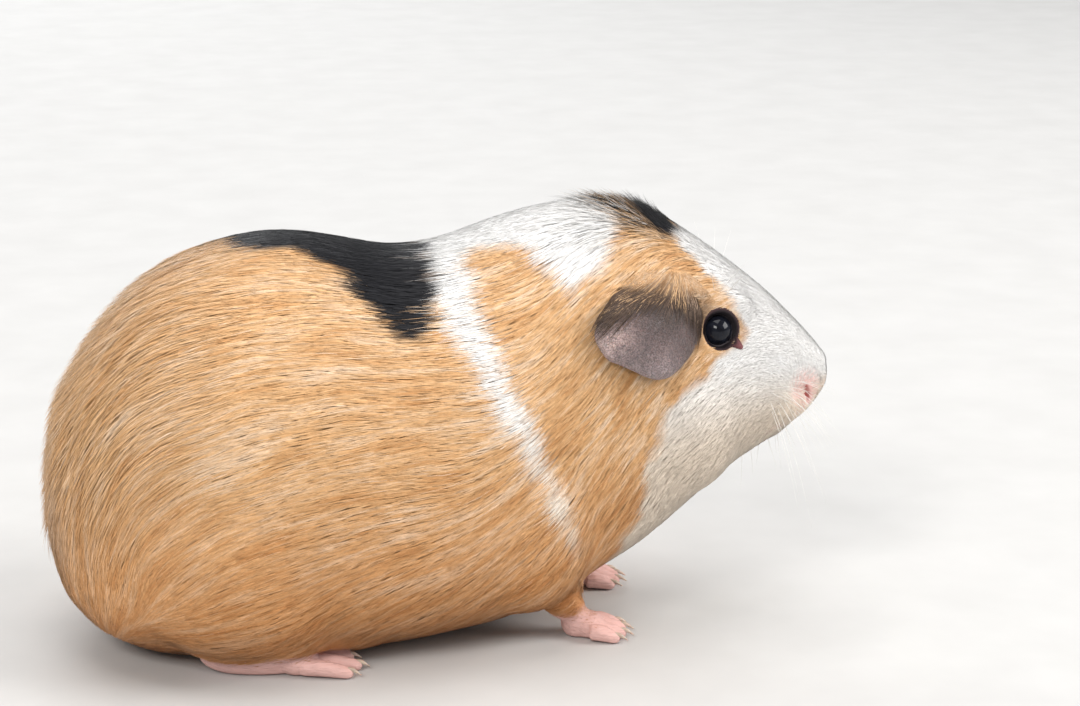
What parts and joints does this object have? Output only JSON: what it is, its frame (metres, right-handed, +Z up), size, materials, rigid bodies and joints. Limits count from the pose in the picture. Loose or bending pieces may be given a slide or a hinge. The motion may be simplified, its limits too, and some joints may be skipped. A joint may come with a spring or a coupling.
{
  "type": "guinea pig",
  "caption": "Life-size still model of a smooth-haired guinea pig lying on its belly and feet with its head raised, ears drooping, coat patched orange, white and black.",
  "frame": {"origin": "on the floor, under the middle of the model's bounding box", "axes": "+X ahead, the way the body points; +Y to the animal's left; +Z up"},
  "size_m": [0.227, 0.1168, 0.1257],
  "materials": {
    "coat_orange": "short, flat, glossy hair",
    "coat_white": "short, flat hair",
    "ear_skin": "bare, matt skin",
    "foot_skin": "bare, matt skin with horn claws",
    "eye_dark": "wet and glossy"
  },
  "bodies": {
    "root": {"torso": "coat_orange", "neck": "coat_orange", "head": "coat_white", "thigh_right": "coat_orange", "thigh_left": "coat_orange", "front_leg_right": "coat_orange", "front_leg_left": "coat_orange", "hind_foot_right": "foot_skin", "hind_foot_left": "foot_skin", "front_foot_right": "foot_skin", "front_foot_left": "foot_skin", "ear_right": "ear_skin", "ear_left": "ear_skin", "eye_right": "eye_dark", "eye_left": "eye_dark"}
  },
  "joints": []
}
